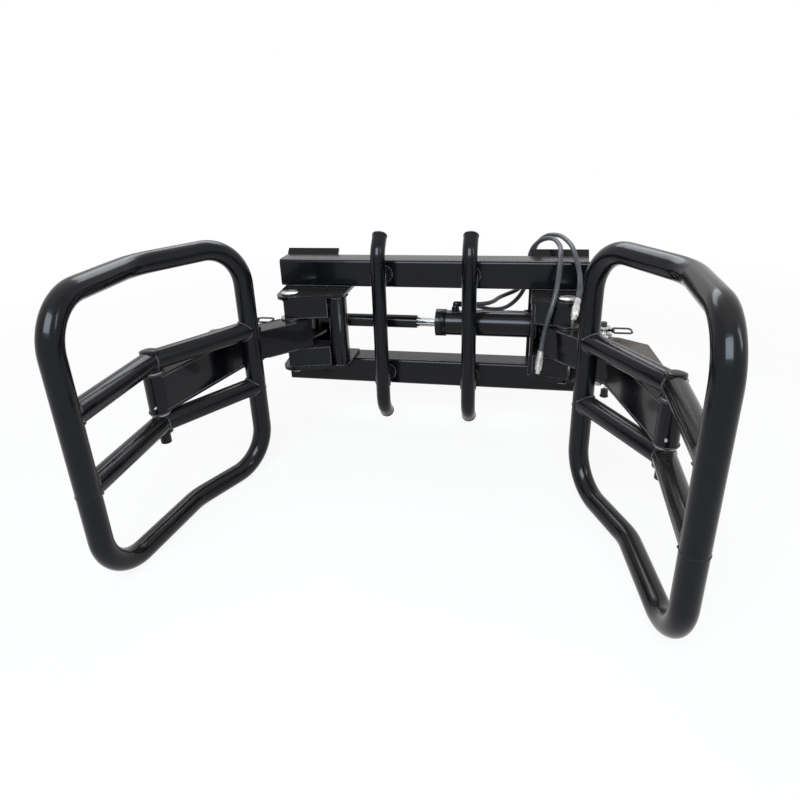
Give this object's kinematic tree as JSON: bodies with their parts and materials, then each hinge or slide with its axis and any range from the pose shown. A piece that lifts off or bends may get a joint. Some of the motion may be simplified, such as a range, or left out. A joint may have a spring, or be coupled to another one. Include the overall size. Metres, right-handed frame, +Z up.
{
  "type": "bale grab",
  "caption": "Tractor-loader bale grab: swinging arms with swivelling tube hoops on a two-rail frame, closed by a cross cylinder between the arms' cranks.",
  "frame": {"origin": "centre of the loader hitch: midway between the two half plates, on their rear faces, at the height of the arms", "axes": "+X along the rails to the operator's right seen from the bale, +Y back towards the loader, +Z up"},
  "size_m": [1.4546, 1.2542, 0.8082],
  "materials": {
    "body": "gloss black coat",
    "zinc": "bright zinc plate",
    "chrome": "hard chrome, polished",
    "steel": "bare machined steel",
    "bronze": "plain bearing metal",
    "hose": "smooth hose cover",
    "plastic": "moulded cap"
  },
  "bodies": {
    "frame": {"top_rail": "body", "bottom_rail": "body", "rail_end_caps": "plastic", "fender_caps": "body", "fender_standoffs": "body", "hitch_plate_left": "body", "hitch_plate_right": "body", "fender_tube_left": "body", "fender_tube_right": "body", "pivot_plates_left": "body", "pivot_plates_right": "body", "pivot_post_left": "body", "pivot_post_right": "body", "pivot_blocks_left": "body", "pivot_blocks_right": "body", "pivot_pin_left": "zinc", "pivot_pin_right": "zinc", "pivot_washers_left": "steel", "pivot_washers_right": "steel", "hose_a": "hose", "hose_b": "hose", "hose_couplers": "zinc"},
    "arm_left": {"arm_beam_left": "body", "pivot_boss_left": "body", "pivot_bushes_left": "bronze", "lever_pin_left": "zinc", "carrier_plates_left": "body", "carrier_walls_left": "body", "knee_tube_left": "body"},
    "hoop_left": {"hoop_upper_bend_left": "body", "hoop_lower_bend_left": "body", "hoop_upper_crossbars_left": "body", "hoop_lower_crossbars_left": "body", "knee_pin_left": "body", "knee_washers_left": "steel"},
    "lock_pin_left": {"lock_pin_left": "zinc"},
    "lynch_pin_left": {"lynch_pin_left": "zinc"},
    "arm_right": {"arm_beam_right": "body", "pivot_boss_right": "body", "pivot_bushes_right": "bronze", "lever_pin_right": "zinc", "carrier_plates_right": "body", "carrier_walls_right": "body", "knee_tube_right": "body"},
    "hoop_right": {"hoop_upper_bend_right": "body", "hoop_lower_bend_right": "body", "hoop_upper_crossbars_right": "body", "hoop_lower_crossbars_right": "body", "knee_pin_right": "body", "knee_washers_right": "steel"},
    "lock_pin_right": {"lock_pin_right": "zinc"},
    "lynch_pin_right": {"lynch_pin_right": "zinc"},
    "rod": {"cylinder_rod": "chrome", "cylinder_rod_bar": "body", "cylinder_piston": "steel"},
    "barrel": {"cylinder_barrel": "body", "cylinder_gland": "body", "port_fittings": "body", "hose_feeds": "hose"}
  },
  "joints": [
    {"name": "arm_swing_left", "type": "hinge", "parent": "frame", "child": "arm_left", "pos_m": [-0.48, -0.215, 0], "axis": [0, 0, 1], "range_deg": [-8, 38]},
    {"name": "hoop_swivel_left", "type": "hinge", "parent": "arm_left", "child": "hoop_left", "pos_m": [-0.697, -0.777, 0], "axis": [0, 0, -1], "range_deg": [-6, 40]},
    {"name": "lock_pin_lift_left", "type": "slide", "parent": "arm_left", "child": "lock_pin_left", "axis": [0, 0, 1], "range_m": [0, 0.12]},
    {"name": "lynch_pin_pull_left", "type": "slide", "parent": "lock_pin_left", "child": "lynch_pin_left", "axis": [1, 0, 0], "range_m": [0, 0.04]},
    {"name": "arm_swing_right", "type": "hinge", "parent": "frame", "child": "arm_right", "pos_m": [0.48, -0.215, 0], "axis": [0, 0, 1], "range_deg": [-38, 8]},
    {"name": "hoop_swivel_right", "type": "hinge", "parent": "arm_right", "child": "hoop_right", "pos_m": [0.697, -0.777, 0], "axis": [0, 0, 1], "range_deg": [-6, 40]},
    {"name": "lock_pin_lift_right", "type": "slide", "parent": "arm_right", "child": "lock_pin_right", "axis": [0, 0, 1], "range_m": [0, 0.12]},
    {"name": "lynch_pin_pull_right", "type": "slide", "parent": "lock_pin_right", "child": "lynch_pin_right", "axis": [1, 0, 0], "range_m": [0, 0.04]},
    {"name": "rod_pivot", "type": "hinge", "parent": "arm_left", "child": "rod", "pos_m": [-0.43, -0.068, 0], "axis": [0, 0, 1], "range_deg": [-38, 8]},
    {"name": "barrel_pivot", "type": "hinge", "parent": "arm_right", "child": "barrel", "pos_m": [0.43, -0.068, 0], "axis": [0, 0, 1], "range_deg": [-8, 38]}
  ],
  "couplings": [
    {"joint": "arm_swing_right", "follows": "arm_swing_left", "ratio": -1},
    {"joint": "rod_pivot", "follows": "arm_swing_left", "ratio": -1},
    {"joint": "barrel_pivot", "follows": "arm_swing_left", "ratio": 1}
  ]
}
